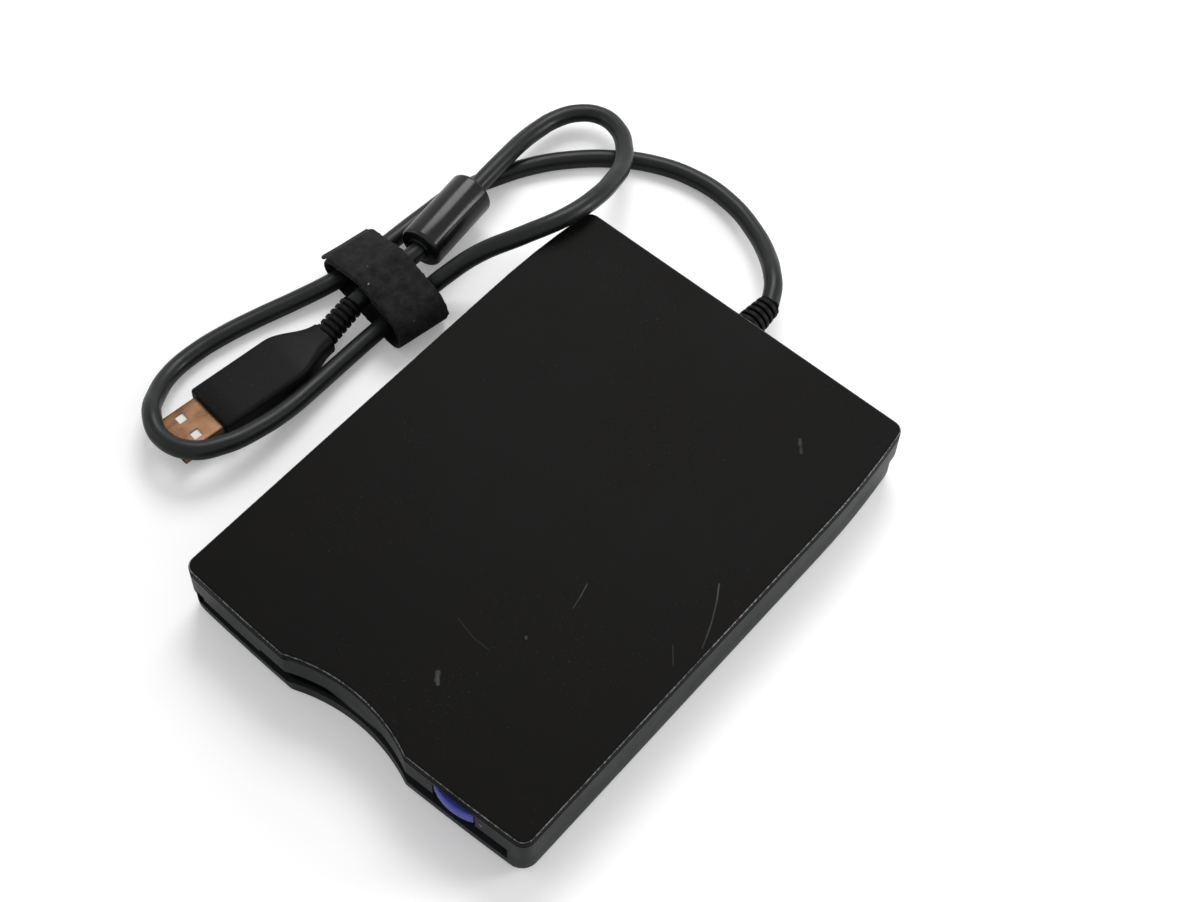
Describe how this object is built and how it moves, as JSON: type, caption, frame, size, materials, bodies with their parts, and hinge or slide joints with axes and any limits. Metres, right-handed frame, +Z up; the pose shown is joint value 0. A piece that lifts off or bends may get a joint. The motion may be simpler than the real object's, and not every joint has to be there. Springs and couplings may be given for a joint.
{
  "type": "external floppy drive",
  "caption": "Slim external 3.5 inch floppy drive with a fixed USB cable, ferrite core and cable strap.",
  "frame": {"origin": "centre of the drive's footprint on the table, without the cable", "axes": "+Z up, -Y towards the slot's side, +X to the right seen from the slot's side"},
  "size_m": [0.1544, 0.1795, 0.023],
  "materials": {
    "plate_black": "matte, fine grain",
    "case_grey": "matte",
    "case_lower_grey": "matte",
    "foot_rubber": "matte",
    "steel": "satin",
    "zinc_sheet": "satin",
    "flap_grey": "matte",
    "button_violet": "satin",
    "light_pipe": "gloss",
    "lamp": "gloss",
    "pale_plastic": "matte",
    "board_green": "gloss",
    "chip_black": "matte",
    "copper": "satin",
    "bronze": "satin",
    "magnet": "matte",
    "head_ceramic": "gloss",
    "flex_amber": "gloss",
    "cable_black": "satin",
    "ferrite_black": "gloss",
    "strap_black": "matte, fuzzy",
    "plug_black": "satin",
    "shell_metal": "bright",
    "tongue_white": "satin",
    "gold": "bright"
  },
  "bodies": {
    "housing": {"top_plate": "plate_black", "upper_case": "case_grey", "lower_case": "case_lower_grey", "rubber_feet": "foot_rubber", "case_screws": "steel", "flap_spring": "steel", "light_pipe": "light_pipe", "status_lamp": "lamp", "chassis": "zinc_sheet", "mech_cover": "zinc_sheet", "eject_springs": "steel", "motor_board": "board_green", "stator_coils": "copper", "spindle_bearing": "bronze", "stepper_motor": "steel", "screw_bearing": "pale_plastic", "guide_rod": "steel", "rod_clamps": "zinc_sheet", "main_board": "board_green", "board_chips": "chip_black", "switch_board": "board_green", "sensor_switches": "chip_black", "track_sensor": "chip_black", "head_flex": "flex_amber", "usb_board": "board_green", "usb_chips": "chip_black", "cable_connector": "pale_plastic", "cable_tail": "cable_black", "mech_screws": "steel", "board_screws": "steel", "cable_gland": "cable_black", "cord_main": "cable_black", "ferrite_core": "ferrite_black", "cable_strap": "strap_black", "cord_plug_end": "cable_black", "plug_relief": "plug_black", "plug_body": "plug_black", "usb_shell": "shell_metal", "usb_tongue": "tongue_white", "usb_contacts": "gold"},
    "eject_button": {"eject_button": "button_violet", "eject_slide": "zinc_sheet"},
    "carrier": {"disk_carrier": "zinc_sheet", "shutter_spring": "steel"},
    "shutter_lever": {"shutter_lever": "pale_plastic"},
    "spindle": {"spindle_rotor": "zinc_sheet", "rotor_magnet": "magnet", "drive_pin": "steel"},
    "lead_screw": {"lead_screw": "steel"},
    "carriage": {"head_carriage": "pale_plastic", "lower_head": "head_ceramic", "arm_spring": "steel"},
    "head_arm": {"head_arm": "zinc_sheet", "upper_head": "head_ceramic"},
    "dust_flap": {"dust_flap": "flap_grey"},
    "write_protect_plunger": {"write_protect_plunger": "pale_plastic"},
    "density_plunger": {"density_plunger": "pale_plastic"},
    "disk_in_plunger": {"disk_in_plunger": "pale_plastic"}
  },
  "joints": [
    {"name": "eject_press", "type": "slide", "parent": "housing", "child": "eject_button", "axis": [0, -1, 0], "range_m": [0, 0.0045]},
    {"name": "carrier_drop", "type": "slide", "parent": "housing", "child": "carrier", "axis": [0, 0, -1], "range_m": [0, 0.0013]},
    {"name": "shutter_swing", "type": "hinge", "parent": "carrier", "child": "shutter_lever", "pos_m": [-0.038, 0.01201, 0.0098], "axis": [0, 0, 1], "range_deg": [0, 46], "stiffness_Nm_per_rad": 0.0004},
    {"name": "spindle_spin", "type": "hinge", "parent": "housing", "child": "spindle", "pos_m": [0, -0.01199, 0.002], "axis": [0, 0, 1], "continuous": true},
    {"name": "head_step", "type": "slide", "parent": "housing", "child": "carriage", "axis": [0, -1, 0], "range_m": [0, 0.0148], "deforming": ["head_flex"]},
    {"name": "screw_turn", "type": "hinge", "parent": "housing", "child": "lead_screw", "pos_m": [0.0165, 0.03431, 0.0075], "axis": [0, 1, 0], "range_deg": [0, 1776]},
    {"name": "arm_load", "type": "hinge", "parent": "carriage", "child": "head_arm", "pos_m": [0, 0.05501, 0.01105], "axis": [1, 0, 0], "range_deg": [0, 6]},
    {"name": "flap_swing", "type": "hinge", "parent": "housing", "child": "dust_flap", "pos_m": [0, -0.06343, 0.0102], "axis": [1, 0, 0], "range_deg": [0, 80], "stiffness_Nm_per_rad": 0.0002},
    {"name": "write_protect_press", "type": "slide", "parent": "housing", "child": "write_protect_plunger", "axis": [0, 0, -1], "range_m": [0, 0.0006], "stiffness_N_per_m": 100},
    {"name": "density_press", "type": "slide", "parent": "housing", "child": "density_plunger", "axis": [0, 0, -1], "range_m": [0, 0.0006], "stiffness_N_per_m": 100},
    {"name": "disk_in_press", "type": "slide", "parent": "housing", "child": "disk_in_plunger", "axis": [0, 0, -1], "range_m": [0, 0.0006], "stiffness_N_per_m": 100}
  ],
  "couplings": [
    {"joint": "carrier_drop", "follows": "eject_press", "ratio": 0.28889},
    {"joint": "arm_load", "follows": "eject_press", "rad_per_m": 23.269},
    {"joint": "screw_turn", "follows": "head_step", "rad_per_m": 2094.4}
  ]
}
